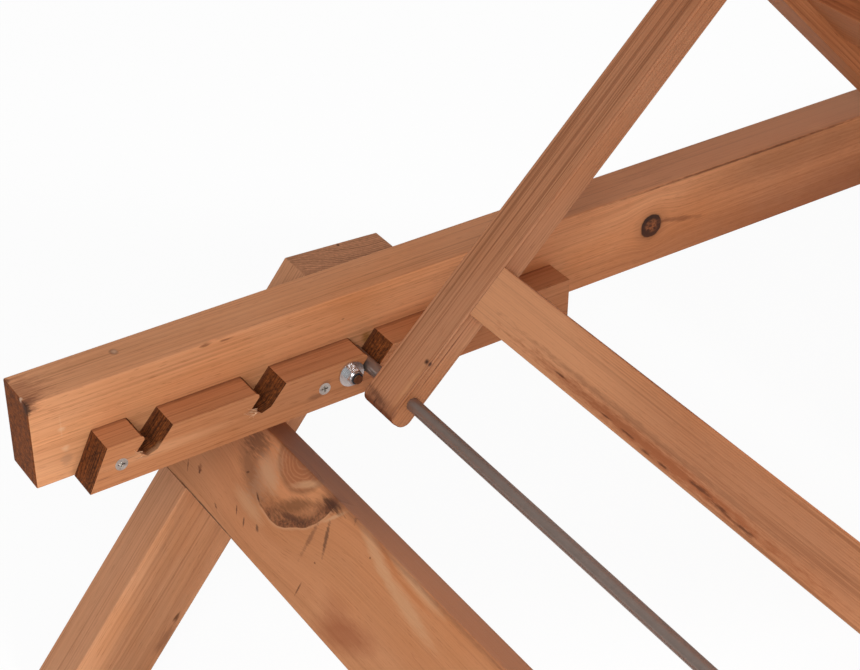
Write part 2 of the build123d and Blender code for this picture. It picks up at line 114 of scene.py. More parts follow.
def linear(red, green, blue):
    """Colour of a node from 8-bit sRGB values."""
    parts = []
    for value in (red, green, blue):
        share = value / 255
        parts.append(share / 12.92 if share <= 0.04045 else ((share + 0.055) / 1.055) ** 2.4)
    return (*parts, 1)


class Graph:
    """Adds nodes to a material and links their sockets."""

    def __init__(self, name):
        self.material = bpy.data.materials.new(name)
        self.material.use_nodes = True
        self.tree = self.material.node_tree
        self.tree.nodes.clear()

    def node(self, kind, inputs=(), **settings):
        """New node with its settings, and its inputs given by name or number."""
        made = self.tree.nodes.new(kind)
        for key, value in settings.items():
            setattr(made, key, value)
        for key, value in dict(inputs).items():
            self.put(made.inputs[key], value)
        return made

    def put(self, socket, value):
        """Links a socket to another, or writes its value."""
        if isinstance(value, bpy.types.NodeSocket):
            self.tree.links.new(value, socket)
        else:
            socket.default_value = value

    def math(self, operation, first, second=0.0, third=0.0, clamp=False):
        """Result of a sum on numbers."""
        inputs = {0: first, 1: second, 2: third}
        return self.node("ShaderNodeMath", inputs, operation=operation, use_clamp=clamp).outputs[0]

    def vector(self, operation, first, second=(0, 0, 0)):
        """Result of a sum on vectors."""
        made = self.node("ShaderNodeVectorMath", {0: first, 1: second}, operation=operation)
        return made.outputs["Value" if operation in ("LENGTH", "DOT_PRODUCT") else "Vector"]

    def noise(self, place, cells, detail=2.0, rough=0.5):
        """Noise with so many cells per metre in each direction, as its number and its colour."""
        stretched = self.vector("MULTIPLY", place, cells)
        inputs = {"Vector": stretched, "Scale": 1.0, "Detail": detail, "Roughness": rough}
        made = self.node("ShaderNodeTexNoise", inputs)
        return made.outputs["Fac"], made.outputs["Color"]

    def ramp(self, value, stops):
        """Colour, or grey level, read from stops along a ramp."""
        made = self.node("ShaderNodeValToRGB", {"Fac": value})
        elements = made.color_ramp.elements
        while len(elements) < len(stops):
            elements.new(0.5)
        for element, (place, level) in zip(elements, stops):
            element.position = place
            element.color = level if isinstance(level, tuple) else (level, level, level, 1)
        return made.outputs["Color"]

    def mix(self, share, first, second, how="MIX"):
        """Mix of two colours."""
        made = self.node("ShaderNodeMix", data_type="RGBA", blend_type=how)
        self.put(made.inputs["Factor"], share)
        self.put(made.inputs[6], first)
        self.put(made.inputs[7], second)
        return made.outputs[2]

    def spread(self, value, low, high):
        """Number from zero to one stretched between two levels."""
        return self.math("MULTIPLY_ADD", value, high - low, low)

    def finish(self, colour, roughness, height, reach, **constants):
        """Surface shader with its bump, and constants on its own sockets."""
        bump = self.node("ShaderNodeBump", {"Height": height, "Distance": reach, "Strength": 1.0})
        inputs = {"Base Color": colour, "Roughness": roughness, "Normal": bump.outputs[0], **constants}
        shader = self.node("ShaderNodeBsdfPrincipled", inputs)
        out = self.node("ShaderNodeOutputMaterial")
        self.tree.links.new(shader.outputs[0], out.inputs[0])
        return self.material


# Timber: colours are 8-bit sRGB values, while clouds, tints and tones multiply linear colours

EARLY_WOOD = (206, 147, 107)
LATE_WOOD = (163, 100, 64)
RING_WIDTH = 0.0032
RINGS = ((0.0, 0.0), (0.35, 0.08), (0.66, 0.4), (0.86, 1.0), (0.94, 0.55), (1.0, 0.0))
RING_SWAY = 0.35
RING_STRENGTH = (0.25, 1.0)
GRAIN_WANDER = 0.01
WARM_CLOUD = (0.95, 0.83, 0.68, 1)
TINT_DARK = (0.52, 0.44, 0.36, 1)
TINT_LIGHT = (1.48, 1.56, 1.64, 1)
# Dust and painted light on the faces that look up
DUST_AND_TOP_LIGHT = (200, 135, 99)
MOST_DUST_AND_TOP_LIGHT = 0.6
SIDE_LINES = 0.13
FIBRE_SHADE = (0.78, 1.2)
STREAK_SHADE = (0.8, 1.2)
END_TONE = (0.29, 0.155, 0.05)
RACK_END_TONE = (0.2, 0.118, 0.05)
SOFT_END_TONE = (0.8, 0.77, 0.78)
END_BLEND = 0.2
END_EARLY_WOOD = 1.12
KNOT_RINGS = ((0.0, 0.9), (0.3, 1.0), (0.5, 0.7), (0.66, 0.05), (0.98, 0.0), (1.12, 0.8), (1.5, 1.0))
KNOT_BLACK = (22, 14, 11)
KNOT_BROWN = (140, 84, 50)
KNOT_RED = (158, 94, 62)
KNOT_PALE = (190, 130, 94)
KNOT_ARCS = 8.0
KNOT_FLOW = 1.9
KNOT_PUSH = 0.75
SOUND_RIM_SWAY = 0.07
DEAD_RIM_SWAY = 0.14
BARK_SWAY = 0.0045
BARK_DARK = (62, 38, 26)
BARK_LIGHT = (132, 78, 50)
BARK_RIM = (204, 150, 110)
BARK_STRENGTH = 0.9
GRAIN_SHIFTS = (1.0, 60.0)
WOOD_ROUGHNESS = (0.48, 0.64)
END_ROUGHNESS = (0.8, 0.8, 0.8, 1)
WOOD_RELIEF = 0.00022
WOOD_SHINE = 0.25
RING_RELIEF = 0.2
FIBRE_RELIEF = 0.8

# How fine each noise is along the grain, across it and through the board, in cells per metre
WARP_CELLS = (1.6, 10, 10)
LOOSE_RING_CELLS = (3.5, 45, 45)
FIBRE_CELLS = (9, 620, 620)
STREAK_CELLS = (2.2, 75, 75)
CLOUD_CELLS = (6, 15, 15)
LINE_CELLS = (3.2, 430, 430)
PORE_CELLS = (70, 800, 800)
END_PORE_CELLS = (300, 340, 340)
SAW_CELLS = (22, 22, 980)
EDGE_CELLS = (90, 520, 520)
KNOT_RIM_CELLS = (90, 140, 20)
KNOT_CRACK_CELLS = (330, 330, 330)
BARK_SWAY_CELLS = (34, 34, 34)
BARK_PATCH_CELLS = (42, 42, 20)
BARK_CRUMB_CELLS = (420, 420, 60)


@dataclass
class Mark:
    """A stain, fleck, crack or chip: its place, half length and half width, colour and turn in degrees."""

    point: Vector
    size: tuple
    colour: tuple
    strength: float = 0.8
    ragged: float = 0.6
    turn: float = 0.0
    depth: float = 0.006


@dataclass
class Knot:
    """A knot: a point on its axis, its radius, its stretch along the grain and its reach in radii."""

    point: Vector
    radius: float
    stretch: float = 1.0
    sound: bool = False
    reach: float = 3.0


@dataclass
class Bark:
    """Ingrown bark round a buried knot: its half width, and the middle and end of its curl."""

    centre: Vector
    radius: float
    width: float
    direction: tuple
    end_cosine: float


@dataclass
class Board:
    """One board of timber: where it was cut from the log, and what differs from the others."""

    # The directions of its grain and its face, and the log's pith, across and through the board
    node: str
    grain: Vector
    face: Vector
    pith: tuple
    tone: tuple

    # Long faces: ring width as a share of the usual, how dark and wavy the rings are, dark lines
    rings: float = 1.0
    contrast: float = 0.6
    wild: float = 1.0
    lines: float = 0.34
    knots: tuple = ()
    marks: tuple = ()
    bark: Bark = None

    # Sawn ends: tone, rings, pores, saw marks, and how squarely a face crosses the grain to be one
    ends: tuple = END_TONE
    end_rings: float = 0.66
    pores: float = 0.6
    saw: float = 0.15
    cut_from: float = 0.42

    def __post_init__(self):
        self.turn = Matrix((self.grain, self.face.cross(self.grain), self.face))
        along = random.Random(self.node).uniform(*GRAIN_SHIFTS)
        self.shift = Vector((along, -self.pith[0], -self.pith[1])) - self.turn @ middle(self.node)

    def place(self, point):
        """A point of the row frame in the board's own frame, along, across and through it."""
        return self.turn @ point + self.shift


def board_place(graph, board):
    """The surface point in the board's own frame, measured from its pith."""
    source = graph.node("ShaderNodeTexCoord").outputs["Object"]
    inputs = {"Vector": source, "Location": board.shift, "Rotation": board.turn.to_euler("XYZ")}
    return graph.node("ShaderNodeMapping", inputs, vector_type="POINT").outputs[0]


def end_grain(graph, board):
    """One on the sawn ends of a board and zero on its long faces."""
    normal = graph.node("ShaderNodeTexCoord").outputs["Normal"]
    facing = graph.math("ABSOLUTE", graph.vector("DOT_PRODUCT", normal, tuple(board.grain)))
    return graph.ramp(facing, ((board.cut_from, 0.0), (board.cut_from + END_BLEND, 1.0)))


def knot_distance(graph, board, place, knot, grow=1.0):
    """Distance from a knot's middle in knot radii, with a ragged rim, stretched along the grain."""
    radius = knot.radius * grow
    local = graph.vector("SUBTRACT", place, board.place(knot.point))
    size = (1 / (radius * knot.stretch), 1 / radius, 1 / (radius * knot.reach))
    ragged = graph.noise(place, KNOT_RIM_CELLS, 2.0)[0]
    away = graph.vector("LENGTH", graph.vector("MULTIPLY", local, size))
    sway = SOUND_RIM_SWAY if knot.sound else DEAD_RIM_SWAY
    return graph.math("ADD", away, graph.spread(ragged, -sway, sway))


def flowing(graph, board, place):
    """The board's own place with the grain pushed aside round each knot."""
    for knot in board.knots:
        away = knot_distance(graph, board, place, knot, KNOT_FLOW)
        swell = graph.math("EXPONENT", graph.math("MULTIPLY", graph.math("POWER", away, 2.0), -1.0))
        local = graph.vector("SUBTRACT", place, board.place(knot.point))
        push = graph.vector("MULTIPLY", local, (0, KNOT_PUSH, 0))
        scaled = graph.node("ShaderNodeVectorMath", {0: push, "Scale": swell}, operation="SCALE").outputs[0]
        place = graph.vector("SUBTRACT", place, scaled)
    return place


def figure(graph, board, place):
    """Growth rings of a board, from zero in early wood to one in late wood."""
    warp = graph.vector("SUBTRACT", graph.noise(place, WARP_CELLS, 1.0)[1], (0.5, 0.5, 0.5))
    amount = GRAIN_WANDER * board.wild
    bent = graph.vector("ADD", place, graph.vector("MULTIPLY", warp, (0, amount, amount)))
    radius = graph.vector("LENGTH", graph.vector("MULTIPLY", bent, (0, 1, 1)))
    rings = graph.math("DIVIDE", radius, RING_WIDTH * board.rings)
    loose = graph.noise(place, LOOSE_RING_CELLS, 2.0)[0]
    rings = graph.math("ADD", rings, graph.spread(loose, -RING_SWAY, RING_SWAY))
    profile = graph.ramp(graph.math("FRACT", rings), RINGS)
    inputs = {"W": graph.math("FLOOR", rings)}
    strength = graph.node("ShaderNodeTexWhiteNoise", inputs, noise_dimensions="1D").outputs["Value"]
    return graph.math("MULTIPLY", profile, graph.spread(strength, *RING_STRENGTH))


def black_knot(graph, place, away, colour):
    """A dead knot: a black ring about a cracked brown middle, with a dark halo."""
    dark = graph.ramp(graph.math("MULTIPLY", away, 0.5), [(at / 2, level) for at, level in KNOT_RINGS])
    cracks = graph.noise(place, KNOT_CRACK_CELLS, 3.0, 0.6)[0]
    dark = graph.math("MULTIPLY", dark, graph.ramp(cracks, ((0.4, 0.0), (0.56, 1.0))))
    char = graph.mix(dark, linear(*KNOT_BLACK), linear(*KNOT_BROWN))
    inside = graph.ramp(away, ((0.0, 1.0), (0.93, 1.0), (1.0, 0.0)))
    halo = graph.ramp(graph.math("MULTIPLY", away, 0.4), ((0.36, 0.5), (0.46, 0.82), (0.75, 1.0)))
    return graph.mix(inside, graph.mix(1.0, colour, halo, "MULTIPLY"), char)


def sound_knot(graph, away, colour):
    """A live knot: pale and reddish arcs inside a soft dark rim."""
    arcs = graph.math("FRACT", graph.math("MULTIPLY", away, KNOT_ARCS))
    tone = graph.ramp(arcs, ((0.0, 0.3), (0.3, 0.1), (0.6, 0.35), (0.8, 1.0), (1.0, 0.3)))
    wood = graph.mix(tone, linear(*KNOT_RED), linear(*KNOT_PALE))
    inside = graph.ramp(away, ((0.0, 0.85), (0.84, 0.75), (1.0, 0.0)))
    half = graph.math("MULTIPLY", away, 0.5)
    rim = graph.ramp(half, ((0.42, 1.0), (0.48, 0.72), (0.54, 1.12), (0.8, 1.0)))
    return graph.mix(1.0, graph.mix(inside, colour, wood), rim, "MULTIPLY")


def painted_mark(graph, board, place, edge, mark, colour):
    """A colour with one mark laid over it."""
    local = graph.vector("SUBTRACT", place, board.place(mark.point))
    if mark.turn:
        inputs = {"Vector": local, "Angle": math.radians(mark.turn)}
        local = graph.node("ShaderNodeVectorRotate", inputs, rotation_type="Z_AXIS").outputs[0]
    size = (1 / mark.size[0], 1 / mark.size[1], 1 / mark.depth)
    away = graph.vector("LENGTH", graph.vector("MULTIPLY", local, size))
    away = graph.math("MULTIPLY_ADD", edge, 2 * mark.ragged, graph.math("SUBTRACT", away, mark.ragged))
    cover = graph.ramp(away, ((0.0, mark.strength), (0.35, mark.strength), (1.0, 0.0)))
    return graph.mix(cover, colour, linear(*mark.colour))


def painted_bark(graph, board, place, bark, colour):
    """A colour with a band of bark, soft on its inner side, and a bright rim outside it."""
    local = graph.vector("SUBTRACT", place, board.place(bark.centre))
    flat = graph.vector("MULTIPLY", local, (1, 1, 0))
    sway = graph.noise(place, BARK_SWAY_CELLS, 2.0)[0]
    away = graph.math("ADD", graph.vector("LENGTH", flat), graph.spread(sway, -BARK_SWAY, BARK_SWAY))
    band = graph.math("DIVIDE", graph.math("SUBTRACT", away, bark.radius - bark.width), 2 * bark.width)
    heading = graph.vector("DOT_PRODUCT", graph.vector("NORMALIZE", flat), (*bark.direction, 0))
    sector = graph.ramp(heading, ((bark.end_cosine - 0.1, 0.0), (bark.end_cosine + 0.16, 1.0)))
    through = graph.math("ABSOLUTE", graph.vector("DOT_PRODUCT", local, (0, 0, 1)))
    sector = graph.math("MULTIPLY", sector, graph.ramp(through, ((0.0, 1.0), (0.012, 1.0), (0.02, 0.0))))
    patchy = graph.noise(place, BARK_PATCH_CELLS, 3.0, 0.6)[0]
    patches = graph.ramp(patchy, ((0.34, 0.35), (0.52, 1.0)))
    soft = graph.ramp(band, ((0.0, 0.0), (0.15, 0.35), (0.42, 1.0), (0.5, 0.9), (0.51, 0.0)))
    soft = graph.math("MULTIPLY", soft, patches)
    crack = graph.ramp(band, ((0.45, 0.0), (0.485, 0.9), (0.5, 0.0)))
    dark = graph.math("MULTIPLY", graph.math("MAXIMUM", soft, crack), sector)
    crumbs = graph.noise(place, BARK_CRUMB_CELLS, 2.0, 0.7)[0]
    crumbs = graph.ramp(crumbs, ((0.4, 0.0), (0.62, 1.0)))
    soil = graph.mix(crumbs, linear(*BARK_DARK), linear(*BARK_LIGHT))
    colour = graph.mix(graph.math("MULTIPLY", dark, BARK_STRENGTH), colour, soil)
    rim = graph.ramp(band, ((0.5, 0.0), (0.515, 0.8), (0.57, 0.0)))
    return graph.mix(graph.math("MULTIPLY", rim, sector), colour, linear(*BARK_RIM))


def upward(graph):
    """One on the faces that look up and zero on those that look sideways or down."""
    normal = graph.node("ShaderNodeTexCoord").outputs["Normal"]
    rise = graph.vector("DOT_PRODUCT", normal, (0, 0, 1))
    return graph.ramp(rise, ((0.2, 0.0), (0.6, 1.0)))


def long_grain(graph, board, place, rings, fibres, streaks):
    """Colour of the long faces: rings, warm clouds, fibres, dark lines, pores, and dust with painted light
    on the top.
    """
    share = graph.math("MULTIPLY", rings, board.contrast)
    colour = graph.mix(share, linear(*EARLY_WOOD), linear(*LATE_WOOD))
    clouds = graph.noise(place, CLOUD_CELLS, 3.0, 0.55)[0]
    warm = graph.ramp(clouds, ((0.34, 0.0), (0.7, 1.0)))
    colour = graph.mix(warm, colour, graph.mix(1.0, colour, WARM_CLOUD, "MULTIPLY"))
    top = upward(graph)
    lines = graph.noise(place, LINE_CELLS, 2.0, 0.6)[0]
    lines = graph.ramp(lines, ((0.52, 0.0), (0.66, 1.0)))
    lines = graph.math("MULTIPLY", lines, graph.spread(top, SIDE_LINES, board.lines))
    pores = graph.noise(place, PORE_CELLS, 1.0)[0]
    pores = graph.ramp(pores, ((0.0, 1.0), (0.63, 1.0), (0.72, 0.78)))
    coarse = graph.spread(streaks, *STREAK_SHADE)
    shade = graph.math("MULTIPLY", graph.spread(fibres, *FIBRE_SHADE), coarse)
    shade = graph.math("MULTIPLY", graph.math("MULTIPLY", shade, graph.math("SUBTRACT", 1.0, lines)), pores)
    tint = graph.mix(graph.math("SUBTRACT", shade, 0.5, clamp=True), TINT_DARK, TINT_LIGHT)
    # Dust and painted light on the faces that look up
    dust_and_top_light = graph.math("MULTIPLY", top, graph.spread(streaks, 0.0, MOST_DUST_AND_TOP_LIGHT))
    return graph.mix(dust_and_top_light, graph.mix(1.0, colour, tint, "MULTIPLY"), linear(*DUST_AND_TOP_LIGHT))


def sawn_ends(graph, board, place, rings):
    """Colour of the sawn ends: darker wood with open pores, faint rings and saw marks across them."""
    speckle = graph.noise(place, END_PORE_CELLS, 4.0, 0.75)[0]
    speckle = graph.ramp(speckle, ((0.34, 0.0), (0.66, 1.0)))
    saw = graph.noise(place, SAW_CELLS, 2.0)[0]
    saw = graph.ramp(saw, ((0.36, 1 - board.saw), (0.64, 1 + board.saw)))
    speckle = graph.spread(speckle, 1 - board.pores, 1 + board.pores)
    level = graph.math("MULTIPLY", speckle, saw)
    level = graph.math("MULTIPLY", level, graph.spread(rings, END_EARLY_WOOD, board.end_rings))
    wood = graph.mix(1.0, linear(*EARLY_WOOD), (*board.ends, 1), "MULTIPLY")
    return graph.mix(1.0, wood, level, "MULTIPLY")


def timber(board):
    """Oiled softwood for one board, with its knots, bark and marks."""
    graph = Graph(f"timber_{board.node}")
    place = board_place(graph, board)
    flow = flowing(graph, board, place)
    rings = figure(graph, board, flow)
    fibres = graph.noise(flow, FIBRE_CELLS, 3.0, 0.7)[0]
    streaks = graph.noise(flow, STREAK_CELLS, 3.0, 0.6)[0]
    ends = end_grain(graph, board)
    colour = long_grain(graph, board, flow, rings, fibres, streaks)
    for knot in board.knots:
        away = knot_distance(graph, board, place, knot)
        colour = sound_knot(graph, away, colour) if knot.sound else black_knot(graph, place, away, colour)
    colour = graph.mix(1.0, colour, (*board.tone, 1), "MULTIPLY")
    colour = graph.mix(ends, colour, sawn_ends(graph, board, place, rings))
    edge = graph.noise(place, EDGE_CELLS, 3.0, 0.65)[0]
    if board.bark:
        colour = painted_bark(graph, board, place, board.bark, colour)
    for mark in board.marks:
        colour = painted_mark(graph, board, place, edge, mark, colour)

    roughness = graph.mix(ends, graph.spread(streaks, *WOOD_ROUGHNESS), END_ROUGHNESS)
    raised = graph.math("MULTIPLY", fibres, FIBRE_RELIEF)
    height = graph.math("ADD", graph.math("MULTIPLY", rings, RING_RELIEF), raised)
    constants = {"Specular IOR Level": WOOD_SHINE}
    return graph.finish(colour, roughness, height, WOOD_RELIEF, **constants)


def on_rail(from_head, below_top, inward=0.0):
    """A point on the left rail's inner face, or further in from it."""
    low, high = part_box("left_side_rail")
    return Vector((low.x + from_head, low.y + inward, high.z - below_top))


def rail_marks():
    """What the photograph shows on the left rail: its worn head end, its stains and its worn arris, and
    painted light and shade towards the foot end.
    """
    pale = (228, 186, 150)
    grey = (160, 118, 92)
    dark = (62, 38, 26)
    worn = (112, 66, 44)
    made = [
        # Scuffs and a smudge on the inner face near the head end
        Mark(on_rail(0.0258, 0.03), (0.001, 0.014), pale, 0.2, ragged=0.9),
        Mark(on_rail(0.0261, 0.0329), (0.004, 0.0022), pale, 0.5, ragged=0.9),
        Mark(on_rail(0.0278, 0.0527), (0.0045, 0.0032), pale, 0.45, ragged=0.9),
        Mark(on_rail(0.0275, 0.0625), (0.006, 0.0075), grey, 0.4, ragged=0.9),
        # Two small flecks, and resin above the rack
        Mark(on_rail(0.2181, 0.044), (0.0022, 0.0008), dark, 0.8, ragged=0.3),
        Mark(on_rail(0.2861, 0.023), (0.0018, 0.0008), worn, 0.6, ragged=0.3),
        Mark(on_rail(0.311, 0.0525), (0.007, 0.011), (138, 92, 30), 0.75, ragged=0.5, turn=35),
        # Wear on the top at the head end
        Mark(on_rail(0.0, 0.0, 0.004), (0.016, 0.011), worn, 0.75, ragged=1.1, depth=0.012),
        Mark(on_rail(0.0, 0.0, 0.022), (0.03, 0.003), (140, 82, 54), 0.5, ragged=1.3, depth=0.026),
        Mark(on_rail(0.0, 0.0, 0.04), (0.004, 0.004), worn, 0.7, ragged=0.9, depth=0.006),
    ]
    made += [
        # Painted light with dust on the top, and painted shade on the inner face, towards the foot end
        Mark(on_rail(1.1, 0.0, 0.022), (0.75, 0.0015), (212, 148, 112), 0.75, ragged=0.1, depth=0.06),
        Mark(on_rail(0.8, 0.015), (0.16, 0.024), (126, 82, 52), 0.45, ragged=0.2),
        # A small plug in the top
        Mark(on_rail(0.089, 0.0, 0.0303), (0.0042, 0.003), (92, 58, 42), 0.8, ragged=0.3, depth=0.0052),
        Mark(on_rail(0.0895, -0.0005, 0.0303), (0.0034, 0.003), (206, 160, 128), 0.9, 0.2, depth=0.0036),
        # Grain torn out along the upper arris
        Mark(on_rail(0.1555, 0.0015), (0.007, 0.0016), (116, 66, 40), 0.7, ragged=0.8, depth=0.003),
        Mark(on_rail(0.1634, 0.0, 0.002), (0.005, 0.002), (236, 160, 112), 0.8, ragged=0.5, depth=0.0016),
        Mark(on_rail(0.175, 0.0025), (0.008, 0.0014), (110, 62, 38), 0.7, ragged=0.8, depth=0.003),
        Mark(on_rail(0.73, 0.0012), (0.2, 0.0016), (88, 48, 28), 0.75, ragged=0.6, depth=0.0012),
        # Painted shade, reddish, on the lower part beyond the prop, and a streak beside the knot
        Mark(on_rail(0.98, 0.095), (0.56, 0.1), (138, 76, 42), 0.72, ragged=0.12),
        Mark(on_rail(0.655, 0.044), (0.035, 0.0035), (122, 70, 42), 0.55, ragged=0.9, turn=-12),
        # The chipped head corner
        Mark(on_rail(0.0, 0.003, 0.001), (0.004, 0.009), dark, 0.85, ragged=0.7, depth=0.008),
        Mark(on_rail(0.0002, 0.0, 0.0115), (0.0022, 0.0045), (222, 184, 156), 0.8, 0.5, depth=0.003),
    ]
    return made


def rails():
    """The two side rails, with the knot that the photograph shows in the left one."""
    left_knot = Knot(on_rail(0.6213, 0.0409), 0.0122)
    right_knot = Knot(Vector((0.31, -0.335, 0.325)), 0.011, 1.2)
    left_look = {"contrast": 0.34, "knots": [left_knot], "marks": rail_marks()}
    return [
        Board("left_side_rail", ALONG, ACROSS, (0.11, 0.1), (1.16, 1.17, 1.12), **left_look),
        Board("right_side_rail", ALONG, ACROSS, (0.02, -0.06), (0.98, 0.97, 0.95), knots=[right_knot]),
    ]


def on_rack(from_head, above_bottom, inward=0.0):
    """A point on the left rack's inner face, or further in from it."""
    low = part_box("left_notch_rack")[0]
    return Vector((low.x + from_head, low.y + inward, low.z + above_bottom))


def rack_marks():
    """Dirt round the screws, fine cracks beside the notches and painted shade along the back of the left
    rack's top.
    """
    dirt = (112, 70, 48)
    crack = (88, 52, 36)
    low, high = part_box("left_notch_rack")
    return [
        # Dirt beside the second screw
        Mark(on_rack(0.2071, 0.0138), (0.0085, 0.0045), dirt, 0.5, ragged=1.0),
        Mark(on_rack(0.2186, 0.024), (0.006, 0.004), dirt, 0.45, ragged=1.0),
        # Cracks between the head end and the first notch
        Mark(on_rack(0.0339, 0.0219), (0.011, 0.0006), crack, 0.85, ragged=0.5),
        Mark(on_rack(0.0476, 0.0182), (0.012, 0.0005), crack, 0.8, ragged=0.5, turn=-8),
        Mark(on_rack(0.0116, 0.011), (0.009, 0.0005), crack, 0.6, ragged=0.5),
        # A paler stretch under the second tooth, and dirt below the first two notches
        Mark(on_rack(0.0676, 0.02), (0.07, 0.007), (226, 170, 126), 0.4, ragged=0.3),
        Mark(on_rack(0.0506, 0.022), (0.006, 0.005), dirt, 0.45, ragged=0.9),
        Mark(on_rack(0.1541, 0.022), (0.006, 0.005), dirt, 0.45, ragged=0.9),
        # Painted shade along the back edge of the top, against the rail
        Mark(on_rack(0.1676, 0.052, high.y - low.y), (0.4, 0.06), (104, 60, 36), 0.7, 0.35, depth=0.005),
    ]


def racks():
    """The two notched racks, with rough dark saw cuts at their ends and in their notches."""
    cuts = {"ends": RACK_END_TONE, "saw": 0.6, "cut_from": 0.1}
    left_look = {"rings": 1.1, "contrast": 0.35, "marks": rack_marks(), **cuts}
    return [
        Board("left_notch_rack", ALONG, ACROSS, (0.06, -0.06), (0.84, 0.77, 0.68), **left_look),
        Board("right_notch_rack", ALONG, ACROSS, (-0.02, 0.03), (0.84, 0.77, 0.68), rings=0.9, **cuts),
    ]


def on_leg(from_foot, above_ground):
    """A point on the left head leg's inner face, measured from the head side of its foot."""
    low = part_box("head_leg_left")[0]
    return Vector((low.x + from_foot, low.y, above_ground))


def leg_marks():
    """A small dead knot and a stain low on the left leg, and a hole near the outer corner of its top end."""
    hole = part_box("head_leg_left")[1] - Vector((0.0423, 0.0037, 0.0029))
    return [
        Mark(on_leg(0.1325, 0.0563), (0.0065, 0.0026), (92, 52, 26), 0.85, ragged=0.9),
        Mark(on_leg(0.1185, 0.036), (0.02, 0.008), (128, 82, 56), 0.5, ragged=1.0),
        Mark(hole, (0.004, 0.0016), (44, 26, 18), 0.9, ragged=0.3, depth=0.0022),
    ]


def legs():
    """The four legs, with smoother ends than the other boards."""
    soft = {"ends": SOFT_END_TONE, "end_rings": 0.3, "pores": 0.16}
    left_look = {"rings": 0.9, "contrast": 0.3, "wild": 0.5, "marks": leg_marks(), **soft}
    return [
        Board("head_leg_left", HEAD_LEG, ACROSS, (0.03, 0.08), (0.96, 1.02, 1.07), **left_look),
        Board("head_leg_right", HEAD_LEG, ACROSS, (-0.03, -0.05), (0.95, 0.94, 0.94), **soft),
        Board("foot_leg_left", FOOT_LEG, ACROSS, (0.01, 0.06), (0.96, 0.94, 0.92), **soft),
        Board("foot_leg_right", FOOT_LEG, ACROSS, (0.03, -0.05), (0.93, 0.94, 0.96), **soft),
    ]


def on_beam(side, up, outward=0.0):
    """A point on the head beam's wide face: to a side of its middle and up it, or out from it."""
    away = ACROSS.cross(HEAD_LEG) * (BEAM_HALF + outward)
    return middle("head_cross_beam") - away + ACROSS * side + HEAD_LEG * up


def beam_stains():
    """Soft pale, red and brown areas of the head beam, one of them also painted shade under the rack."""
    cream = (206, 158, 118)
    amber = (186, 116, 70)
    rust = (152, 84, 50)
    return [
        # Red patches towards the right side, low on the face
        Mark(on_beam(0.1337, -0.0289), (0.045, 0.017), rust, 0.6, ragged=0.3, turn=19),
        Mark(on_beam(0.1517, -0.0209), (0.03, 0.016), rust, 0.3, ragged=0.3, turn=-14),
        # Pale streaks along the upper edge, with amber lines between them
        Mark(on_beam(0.1527, 0.0379), (0.045, 0.007), cream, 0.6, ragged=0.4, turn=-18),
        Mark(on_beam(0.0953, 0.0246), (0.055, 0.008), cream, 0.55, ragged=0.4, turn=-10),
        Mark(on_beam(0.1006, 0.0433), (0.05, 0.005), cream, 0.65, ragged=0.2, turn=-4),
        Mark(on_beam(0.1408, 0.0432), (0.032, 0.0022), amber, 0.7, ragged=0.3, turn=-16),
        Mark(on_beam(0.0953, 0.0354), (0.035, 0.0024), amber, 0.7, ragged=0.3, turn=-3),
        # Brown and pale swirls round the buried knot
        Mark(on_beam(0.3221, 0.0094), (0.04, 0.013), (122, 82, 56), 0.6, ragged=0.5, turn=-29),
        Mark(on_beam(0.3006, 0.0187), (0.026, 0.009), cream, 0.6, ragged=0.4, turn=-19),
        Mark(on_beam(0.2552, 0.0374), (0.024, 0.0045), cream, 0.7, ragged=0.4, turn=36),
        Mark(on_beam(0.3019, -0.0135), (0.032, 0.008), cream, 0.55, ragged=0.4, turn=-6),
        Mark(on_beam(0.2558, 0.0161), (0.03, 0.008), (118, 74, 44), 0.75, ragged=0.6, turn=36),
        Mark(on_beam(0.2099, 0.0344), (0.018, 0.0022), cream, 0.75, ragged=0.5, turn=51),
        Mark(on_beam(0.2186, 0.0418), (0.017, 0.009), (92, 52, 34), 0.8, ragged=0.7, turn=45),
        # Painted shade with a brown stain, high on the face under the rack
        Mark(on_beam(0.3326, 0.0317), (0.022, 0.014), (104, 68, 46), 0.7, ragged=1.0),
        Mark(on_beam(0.303, 0.0182), (0.02, 0.03), (196, 150, 116), 0.4, ragged=0.9),
    ]


